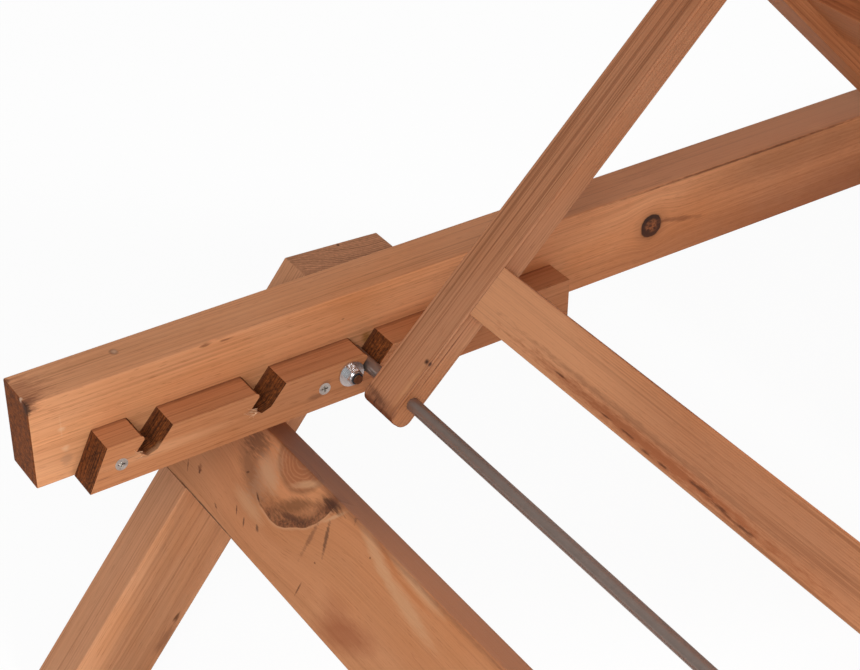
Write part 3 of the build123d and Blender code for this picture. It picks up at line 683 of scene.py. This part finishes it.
def beam_flecks():
    """Flecks, cracks and sooty streaks of the head beam, and its upper and lower edges darkened with painted
    shade.
    """
    fleck = (84, 48, 30)
    soot = (96, 64, 46)
    return [
        # A small reddish knot and the flecks beside it
        Mark(on_beam(0.3784, -0.0236), (0.0055, 0.0028), (132, 76, 48), 0.8, ragged=0.9, turn=-40),
        Mark(on_beam(0.3765, -0.0259), (0.0022, 0.0013), fleck, 0.8, ragged=0.5, turn=-40),
        Mark(on_beam(0.3941, -0.0298), (0.007, 0.0008), fleck, 0.8, ragged=0.6, turn=-50),
        # Flecks across the grain, left of the bark and below it
        Mark(on_beam(0.324, 0.0064), (0.0026, 0.0014), fleck, 0.85, ragged=0.5, turn=30),
        Mark(on_beam(0.2978, -0.0025), (0.006, 0.0013), fleck, 0.85, ragged=0.5, turn=-25),
        Mark(on_beam(0.3118, -0.0248), (0.0055, 0.0009), fleck, 0.85, ragged=0.5, turn=-48),
        Mark(on_beam(0.297, -0.0274), (0.0055, 0.0012), soot, 0.8, ragged=0.5, turn=-52),
        Mark(on_beam(0.2795, -0.0221), (0.0045, 0.002), soot, 0.8, ragged=0.6, turn=-30),
        Mark(on_beam(0.3354, -0.037), (0.005, 0.0012), fleck, 0.7, ragged=0.9, turn=-20),
        # Streaks that run down from the bark
        Mark(on_beam(0.205, 0.0153), (0.018, 0.0024), soot, 0.75, ragged=0.9, turn=-62),
        Mark(on_beam(0.221, 0.0071), (0.02, 0.003), (128, 84, 58), 0.6, ragged=0.9, turn=-85),
        Mark(on_beam(0.2026, -0.0316), (0.007, 0.0012), fleck, 0.75, ragged=0.5, turn=-85),
        Mark(on_beam(0.19, 0.0473), (0.008, 0.0016), soot, 0.7, ragged=0.9, turn=-58),
        Mark(on_beam(0.1539, 0.0317), (0.0014, 0.0012), fleck, 0.8, ragged=0.3),
        Mark(on_beam(0.202, -0.0055), (0.0016, 0.001), fleck, 0.7, ragged=0.3),
        # Painted shade along the lower edge and on the upper face, and thicker bark beside the upper edge
        Mark(on_beam(0.345, -0.0455), (0.075, 0.0011), (58, 38, 28), 0.85, ragged=0.6),
        Mark(on_beam(0.1, 0.0465, -BEAM_HALF), (0.7, 0.006), (136, 88, 62), 0.75, ragged=0.3, depth=0.05),
        Mark(on_beam(0.193, 0.0577), (0.022, 0.003), (110, 66, 44), 0.8, ragged=1.0),
        Mark(on_beam(0.218, 0.0399), (0.018, 0.0045), (74, 44, 30), 0.75, ragged=0.9),
        Mark(on_beam(0.2532, 0.0061), (0.028, 0.0035), (84, 50, 34), 0.7, ragged=1.0, turn=17),
    ]


def beams():
    """The two cross beams, with the bark and the buried knot that the photograph shows in the head one."""
    burl = on_beam(0.2749, 0.0532)
    knot = Knot(burl, 0.031, 1.05, sound=True, reach=0.4)
    bark = Bark(burl, radius=0.061, width=0.02, direction=(-0.56, -0.83), end_cosine=0.55)
    marks = beam_stains() + beam_flecks()
    head_look = {"rings": 1.9, "contrast": 0.12, "wild": 2.0, "lines": 0.12}
    head_look.update(knots=[knot], bark=bark, marks=marks)
    head_face = ACROSS.cross(HEAD_LEG)
    foot_face = ACROSS.cross(FOOT_LEG)
    return [
        Board("head_cross_beam", ACROSS, head_face, (0.0, 0.06), (0.92, 0.88, 0.79), **head_look),
        Board("foot_cross_beam", ACROSS, foot_face, (-0.02, 0.05), (0.96, 0.96, 0.96)),
    ]


# Ranges that each slat's timber is drawn from
SLAT_PITH_SIDE = 0.05
SLAT_PITH_DEPTHS = (0.02, 0.07)
SLAT_TONES = (0.9, 1.03)
SLAT_RED = 0.02
SLAT_RINGS = (0.8, 1.2)
SLAT_KNOT_SHARE = 0.6
SLAT_KNOT_RADII = (0.006, 0.012)
SLAT_KNOT_ALONG = 0.3
SLAT_KNOT_SIDE = 0.03
SLAT_KNOT_STRETCH = 1.1


def slats():
    """The slats of the seat and the backrest, each from another place in the log."""
    made = []
    back_face = BACK.cross(ACROSS)
    for name in sorted(nodes):
        if "_slat_" not in name or name.endswith("screws"):
            continue
        chance = random.Random(name)
        face = UP if name.startswith("seat") else back_face
        pith_side = chance.uniform(-SLAT_PITH_SIDE, SLAT_PITH_SIDE)
        pith = (pith_side, chance.choice((-1, 1)) * chance.uniform(*SLAT_PITH_DEPTHS))
        tone = chance.uniform(*SLAT_TONES)
        red = chance.uniform(-SLAT_RED, SLAT_RED)
        tones = (tone + red, tone, tone - red)
        along = ACROSS * chance.uniform(-SLAT_KNOT_ALONG, SLAT_KNOT_ALONG)
        sideways = face.cross(ACROSS) * chance.uniform(-SLAT_KNOT_SIDE, SLAT_KNOT_SIDE)
        knots = []
        if chance.random() < SLAT_KNOT_SHARE:
            radius = chance.uniform(*SLAT_KNOT_RADII)
            knots = [Knot(middle(name) + along + sideways, radius, SLAT_KNOT_STRETCH)]
        made.append(Board(name, ACROSS, face, pith, tones, chance.uniform(*SLAT_RINGS), knots=knots))
    return made


def backrest_frame():
    """The two members of the backrest and the board between them."""
    board_face = BACK.cross(ACROSS)
    left_look = {"rings": 0.8, "contrast": 0.85}
    board_look = {"contrast": 0.9, "wild": 1.6}
    return [
        Board("back_member_left", BACK, ACROSS, (0.03, 0.04), (0.82, 0.7, 0.56), **left_look),
        Board("back_member_right", BACK, ACROSS, (-0.03, 0.03), (0.94, 0.9, 0.88)),
        Board("back_cross_board", ACROSS, board_face, (0.006, 0.012), (0.78, 0.67, 0.56), **board_look),
    ]


def on_prop(along, side):
    """A point on the upper face of the prop: along the arm from the rod, and to a side."""
    return ROD + ARM * along + ARM_FACE * PROP_HALF + ACROSS * side


def beside_arm(along, above):
    """A point on the left arm's inner side: along the arm from the rod, and above its middle."""
    point = ROD + ARM * along + ARM_FACE * above
    point.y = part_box("prop_arm_left")[0].y
    return point


def arm_marks():
    """Dirt at the left arm's lower end, two pins above the rod, and a pale streak and lines beside them."""
    crack = (74, 44, 32)
    return [
        Mark(on_prop(-0.02, 0.262), (0.013, 0.04), (120, 74, 52), 0.75, ragged=0.7),
        Mark(on_prop(-0.013, 0.268), (0.0035, 0.018), (104, 66, 48), 0.6, ragged=0.9, turn=10),
        Mark(on_prop(-0.0186, 0.267), (0.0045, 0.0012), crack, 0.8, ragged=0.6, turn=20),
        Mark(on_prop(-0.0201, 0.256), (0.004, 0.0014), crack, 0.8, ragged=0.6, turn=30),
        Mark(on_prop(0.014, 0.2455), (0.028, 0.0028), (206, 148, 104), 0.6, ragged=0.7),
        Mark(on_prop(0.0353, 0.2456), (0.0031, 0.0028), (70, 40, 28), 0.95, ragged=0.3, depth=0.002),
        Mark(on_prop(0.0355, 0.2408), (0.0027, 0.0025), (76, 44, 30), 0.95, ragged=0.3, depth=0.002),
        Mark(beside_arm(0.0507, 0.0039), (0.05, 0.005), (104, 54, 30), 0.75, ragged=0.5, depth=0.0009),
        Mark(beside_arm(0.1128, -0.0072), (0.12, 0.004), (206, 150, 108), 0.4, ragged=0.6, depth=0.0035),
    ]


def crossbar_marks():
    """The crossbar's painted light on its left part and painted shade on its right part, reddish stain,
    flecks and a painted highlight along its lower edge.
    """
    fleck = (86, 48, 30)
    middle_line = (CROSSBAR_LOW + CROSSBAR_HIGH) / 2
    made = [
        # Painted light on the left part and painted shade on the right part
        Mark(on_prop(middle_line, 0.2), (0.22, 0.05), (240, 178, 132), 0.36, ragged=0.2),
        Mark(on_prop(middle_line, -0.11), (0.2, 0.04), (120, 78, 56), 0.34, ragged=0.2),
        Mark(on_prop(0.0955, 0.01), (0.2, 0.0065), (150, 82, 46), 0.75, ragged=0.8),
        Mark(on_prop(0.1035, 0.02), (0.2, 0.003), (146, 96, 66), 0.55, ragged=0.9),
    ]
    short_flecks = ((0.126, 0.0962), (0.063, 0.0935), (0.037, 0.0937), (0.016, 0.0915), (-0.006, 0.0919))
    for side, along in short_flecks:
        made.append(Mark(on_prop(along, side), (0.009, 0.0011), fleck, 0.75, ragged=0.9))
    long_flecks = ((-0.043, 0.096), (-0.067, 0.094), (-0.093, 0.0928))
    for side, along in long_flecks:
        made.append(Mark(on_prop(along, side), (0.016, 0.0018), fleck, 0.75, ragged=0.9))
    # Painted highlight along the lower edge
    made.append(Mark(on_prop(CROSSBAR_LOW, 0.0), (0.3, 0.0012), (206, 150, 112), 0.6, ragged=0.5))
    return made


def prop_boards():
    """The two arms of the prop and the crossbar between them."""
    left_look = {"rings": 0.8, "contrast": 0.9, "lines": 0.62, "marks": arm_marks()}
    bar_look = {"rings": 0.5, "contrast": 0.7, "marks": crossbar_marks()}
    return [
        Board("prop_arm_left", ARM, ARM_FACE, (-0.05, 0.05), (0.85, 0.835, 0.82), **left_look),
        Board("prop_arm_right", ARM, ARM_FACE, (0.03, 0.04), (0.9, 0.89, 0.88), rings=0.7),
        Board("prop_crossbar", ACROSS, ARM_FACE, (0.09, 0.06), (0.95, 0.9, 0.84), **bar_look),
    ]


# Steel

BARE_END = 0.36
THREAD_PITCH = 0.00125
METAL_RELIEF = 0.0001
PATCH_CELLS = (140, 140, 140)
BARE_CELLS = (500, 500, 500)
BARE_DARK = (112, 70, 48)
BARE_LIGHT = (206, 160, 124)
HEAD_DARK = (172, 172, 172)
HEAD_LIGHT = (232, 232, 230)
BOLT_ROUGHNESS = (0.24, 0.4)


def steel(name, light, dark, cells, roughness, metallic, grit):
    """Metal whose tone, roughness and fine marks vary, with the marks' cells per metre in X, Y and Z."""
    graph = Graph(name)
    place = graph.node("ShaderNodeTexCoord").outputs["Object"]
    marks = graph.noise(place, cells, 3.0, 0.6)[0]
    patches = graph.noise(place, PATCH_CELLS, 3.0, 0.6)[0]
    low = 1 - grit
    high = 1 + grit
    tone = graph.math("MULTIPLY", graph.spread(marks, low, high), graph.spread(patches, low, high))
    colour = graph.mix(graph.math("SUBTRACT", tone, 0.5, clamp=True), linear(*dark), linear(*light))
    rough = graph.spread(patches, roughness * low, roughness * high)
    return graph.finish(colour, rough, marks, METAL_RELIEF * grit**2, Metallic=metallic)


def zinc():
    """Bright zinc plating of washers, spacers and nuts."""
    light = (250, 250, 250)
    dark = (190, 192, 196)
    return steel("zinc_plating", light, dark, (120, 120, 120), roughness=0.24, metallic=1.0, grit=0.12)


def screw_steel():
    """Duller plating of the countersunk screws."""
    light = (236, 232, 226)
    dark = (140, 134, 128)
    return steel("screw_plating", light, dark, (500, 500, 500), roughness=0.32, metallic=1.0, grit=0.4)


def bolt_steel():
    """Bolts: bright heads, and brown bare ends inside the nuts."""
    graph = Graph("bolt_steel")
    place = graph.node("ShaderNodeTexCoord").outputs["Object"]
    side = graph.math("ABSOLUTE", graph.vector("DOT_PRODUCT", place, tuple(ACROSS)))
    bright = graph.math("GREATER_THAN", side, BARE_END)
    patches = graph.noise(place, BARE_CELLS, 3.0, 0.7)[0]
    bare = graph.mix(patches, linear(*BARE_DARK), linear(*BARE_LIGHT))
    plated = graph.mix(patches, linear(*HEAD_DARK), linear(*HEAD_LIGHT))
    threads = graph.math("SINE", graph.math("MULTIPLY", side, math.tau / THREAD_PITCH))
    roughness = graph.spread(patches, *BOLT_ROUGHNESS)
    return graph.finish(graph.mix(bright, bare, plated), roughness, threads, METAL_RELIEF, Metallic=0.9)


def rod_steel():
    """Dark drawn steel of the rod, with its marks drawn out along it."""
    light = (176, 158, 149)
    dark = (124, 108, 99)
    return steel("drawn_steel", light, dark, (900, 14, 900), roughness=0.4, metallic=0.75, grit=0.14)


def dress(name, material):
    """Gives a CAD node its material."""
    slots = nodes[name].data.materials
    slots.clear()
    slots.append(material)


def dress_all():
    """Gives each CAD node its own board or metal."""
    boards = rails() + racks() + legs() + beams() + slats() + backrest_frame() + prop_boards()
    for board in boards:
        dress(board.node, timber(board))
    dress("prop_rod", rod_steel())
    plating = zinc()
    screws = screw_steel()
    bolts = bolt_steel()
    timbered = {board.node for board in boards}
    for name in nodes:
        if name.endswith("_screws"):
            dress(name, screws)
        elif name.endswith("_bolts"):
            dress(name, bolts)
        elif name not in timbered and name != "prop_rod":
            dress(name, plating)


# Small pieces

RING_STEPS = 40
INSERT_INNER = 0.0041
INSERT_OUTER = 0.0053
INSERT_HEIGHT = 0.0007
NYLON_CELLS = (900, 900, 900)
NYLON_DARK = (26, 28, 34)
NYLON_LIGHT = (58, 60, 66)
NYLON_ROUGHNESS = (0.36, 0.55)
NYLON_RELIEF = 0.00003
TORN_CELLS = (300, 2000, 2000)
TORN_DARK = (206, 150, 106)
TORN_LIGHT = (240, 204, 168)
TORN_ROUGHNESS = (0.6, 0.8)
TORN_RELIEF = 0.00004
FIBRE_STEPS = 6
FIBRE_LIFT = 0.0008
FIBRE_TIP_SHARE = 0.15
FIBRE_ROOT = 0.002
FIBRE_ROOT_ABOVE = 0.004
FIBRE_LENGTHS = (0.005, 0.013)
FIBRE_CURL = 0.004
FIBRE_WIDTHS = (0.0006, 0.0011)
FIBRE_ANGLES = (150, 205)
FIBRE_SEED = 7

# Torn corners: how far each is from the rack's head end, how many fibres it has, and their height
TORN_CORNERS = ((0.0481, 3), (0.1511, 9))
TORN_HEIGHT = 0.0205


def mesh_piece(name, mesh, material, body):
    """New piece made from a bmesh, with its material, riding on a body."""
    data = bpy.data.meshes.new(name)
    mesh.to_mesh(data)
    mesh.free()
    data.materials.append(material)
    data.shade_smooth()
    made = bpy.data.objects.new(name, data)
    bpy.context.scene.collection.objects.link(made)
    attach(made, body)


def turned_ring(mesh, centre, outward, profile):
    """Adds a ring about an axis along Y from a closed profile of radius and height."""
    rows = []
    for step in range(RING_STEPS):
        angle = math.tau * step / RING_STEPS
        row = []
        for radius, height in profile:
            offset = Vector((radius * math.cos(angle), outward * height, radius * math.sin(angle)))
            row.append(mesh.verts.new(centre + offset))
        rows.append(row)
    for here, there in zip(rows, rows[1:] + rows[:1]):
        for index in range(len(profile)):
            after = (index + 1) % len(profile)
            mesh.faces.new((here[index], there[index], there[after], here[after]))
    bmesh.ops.recalc_face_normals(mesh, faces=mesh.faces)


def collar_ends(node):
    """Middle of the inner end of each lock nut in a node, and the side it is on."""
    points = [vertex.co for vertex in nodes[node].data.vertices]
    ends = []
    for side, end in itertools.product((1, -1), (1, -1)):
        nut = [point for point in points if point.y * side > 0 and point.x * end > 0]
        if nut:
            inner = min(nut, key=lambda point: abs(point.y)).y
            middle_x = (min(point.x for point in nut) + max(point.x for point in nut)) / 2
            middle_z = (min(point.z for point in nut) + max(point.z for point in nut)) / 2
            ends.append((Vector((middle_x, inner, middle_z)), side))
    return ends


def nut_insert(name, body, source_nodes):
    """Dark plastic rings that lock the nuts, standing a little out of their collars."""
    mesh = bmesh.new()
    profile = [(INSERT_INNER, 0.0), (INSERT_OUTER, 0.0), (INSERT_OUTER, INSERT_HEIGHT / 2)]
    profile += [(INSERT_OUTER - INSERT_HEIGHT / 2, INSERT_HEIGHT), (INSERT_INNER, INSERT_HEIGHT)]
    for node in source_nodes:
        for centre, side in collar_ends(node):
            turned_ring(mesh, centre, -side, profile)
    mesh_piece(name, mesh, nylon(), body)


def nylon():
    """Dark plastic with a soft gloss."""
    graph = Graph("dark_nylon")
    place = graph.node("ShaderNodeTexCoord").outputs["Object"]
    grains = graph.noise(place, NYLON_CELLS, 3.0, 0.6)[0]
    colour = graph.mix(grains, linear(*NYLON_DARK), linear(*NYLON_LIGHT))
    return graph.finish(colour, graph.spread(grains, *NYLON_ROUGHNESS), grains, NYLON_RELIEF)


def splinter_wood():
    """Pale torn fibres."""
    graph = Graph("torn_fibres")
    place = graph.node("ShaderNodeTexCoord").outputs["Object"]
    fibres = graph.noise(place, TORN_CELLS, 2.0, 0.6)[0]
    colour = graph.mix(fibres, linear(*TORN_DARK), linear(*TORN_LIGHT))
    return graph.finish(colour, graph.spread(fibres, *TORN_ROUGHNESS), fibres, TORN_RELIEF)


def fibre(mesh, start, heading, length, curl, thickness):
    """Adds one torn fibre: a thin tapering strip that curls away from its root."""
    across = Vector((-heading.z, 0, heading.x))
    rows = []
    for step in range(FIBRE_STEPS + 1):
        share = step / FIBRE_STEPS
        lift = FIBRE_LIFT * math.sin(math.pi * share / 2)
        point = start + heading * length * share + across * curl * share**2 - ACROSS * lift
        half = thickness * (1 - (1 - FIBRE_TIP_SHARE) * share) / 2
        offsets = (across * half, ACROSS * -half, across * -half)
        rows.append([mesh.verts.new(point + offset) for offset in offsets])
    for here, there in zip(rows, rows[1:]):
        for index in range(3):
            after = (index + 1) % 3
            mesh.faces.new((here[index], here[after], there[after], there[index]))
    mesh.faces.new(rows[0])
    mesh.faces.new(rows[-1])


def splinters():
    """Fibres torn out beside the lower corners of the first two notches of the left rack."""
    mesh = bmesh.new()
    chance = random.Random(FIBRE_SEED)
    for from_head, count in TORN_CORNERS:
        for _ in range(count):
            along = from_head + chance.uniform(-FIBRE_ROOT, FIBRE_ROOT)
            start = on_rack(along, TORN_HEIGHT + chance.uniform(-FIBRE_ROOT, FIBRE_ROOT_ABOVE))
            angle = math.radians(chance.uniform(*FIBRE_ANGLES))
            heading = Vector((math.cos(angle), 0, math.sin(angle)))
            length = chance.uniform(*FIBRE_LENGTHS)
            curl = chance.uniform(-FIBRE_CURL, FIBRE_CURL)
            fibre(mesh, start, heading, length, curl, chance.uniform(*FIBRE_WIDTHS))
    bmesh.ops.recalc_face_normals(mesh, faces=mesh.faces)
    mesh_piece("rack_splinters", mesh, splinter_wood(), "frame")


def small_pieces():
    """Everything that the solids leave out."""
    nut_insert("frame_nut_inserts", "frame", ["leg_nuts", "hinge_nuts"])
    nut_insert("backrest_nut_inserts", "backrest", ["pivot_nuts"])
    splinters()


# Floor, light and camera


def floor_material():
    """Pale floor that the camera sees as white, with the object's faint shadow."""
    graph = Graph("pale_floor")
    paint = graph.node("ShaderNodeBsdfDiffuse", {"Color": (FLOOR_GREY, FLOOR_GREY, FLOOR_GREY, 1)})
    white = graph.node("ShaderNodeEmission", {"Color": (1, 1, 1, 1), "Strength": 1.0})
    seen = graph.node("ShaderNodeLightPath").outputs["Is Camera Ray"]
    share = graph.math("MULTIPLY", seen, 1 - FLOOR_SHADOW)
    both = graph.node("ShaderNodeMixShader", {0: share})
    graph.tree.links.new(paint.outputs[0], both.inputs[1])
    graph.tree.links.new(white.outputs[0], both.inputs[2])
    out = graph.node("ShaderNodeOutputMaterial")
    graph.tree.links.new(both.outputs[0], out.inputs[0])
    return graph.material


def floor():
    """Wide flat floor under the legs."""
    half = FLOOR_WIDTH / 2
    mesh = bpy.data.meshes.new("floor")
    corners = [(-half, -half, 0), (half, -half, 0), (half, half, 0), (-half, half, 0)]
    mesh.from_pydata(corners, [], [(0, 1, 2, 3)])
    made = bpy.data.objects.new("floor", mesh)
    bpy.context.scene.collection.objects.link(made)
    made.data.materials.append(floor_material())


def world():
    """Even pale surroundings that the camera sees as white."""
    made = bpy.data.worlds.new("surroundings")
    bpy.context.scene.world = made
    made.use_nodes = True
    tree = made.node_tree
    tree.nodes.clear()
    path = tree.nodes.new("ShaderNodeLightPath")
    level = tree.nodes.new("ShaderNodeMath")
    level.operation = "MULTIPLY_ADD"
    level.inputs[1].default_value = 1 - AMBIENT
    level.inputs[2].default_value = AMBIENT
    light = tree.nodes.new("ShaderNodeBackground")
    out = tree.nodes.new("ShaderNodeOutputWorld")
    tree.links.new(path.outputs["Is Camera Ray"], level.inputs[0])
    tree.links.new(level.outputs[0], light.inputs["Strength"])
    tree.links.new(light.outputs[0], out.inputs[0])


def lamp(name, place, size, power):
    """Square soft lamp that looks at the notches."""
    data = bpy.data.lights.new(name, "AREA")
    data.size = size
    data.energy = power
    made = bpy.data.objects.new(name, data)
    bpy.context.scene.collection.objects.link(made)
    made.location = place
    aim = ROD - Vector(place)
    made.rotation_euler = aim.to_track_quat("-Z", "Y").to_euler()


def camera():
    """Camera at the photograph's viewpoint."""
    data = bpy.data.cameras.new("camera")
    data.sensor_width = SENSOR_WIDTH
    data.lens = CAMERA_LENS
    data.clip_start = NEAREST_SEEN
    data.clip_end = FURTHEST_SEEN
    made = bpy.data.objects.new("camera", data)
    bpy.context.scene.collection.objects.link(made)
    made.location = CAMERA_PLACE
    made.rotation_euler = Euler([math.radians(angle) for angle in CAMERA_TURN])
    bpy.context.scene.camera = made


dress_all()
small_pieces()
floor()
world()
lamp("right_lamp", RIGHT_LAMP_FROM, RIGHT_LAMP_SIZE, RIGHT_LAMP_POWER)
lamp("left_lamp", LEFT_LAMP_FROM, LEFT_LAMP_SIZE, LEFT_LAMP_POWER)
camera()
bpy.context.scene.view_settings.view_transform = "Standard"
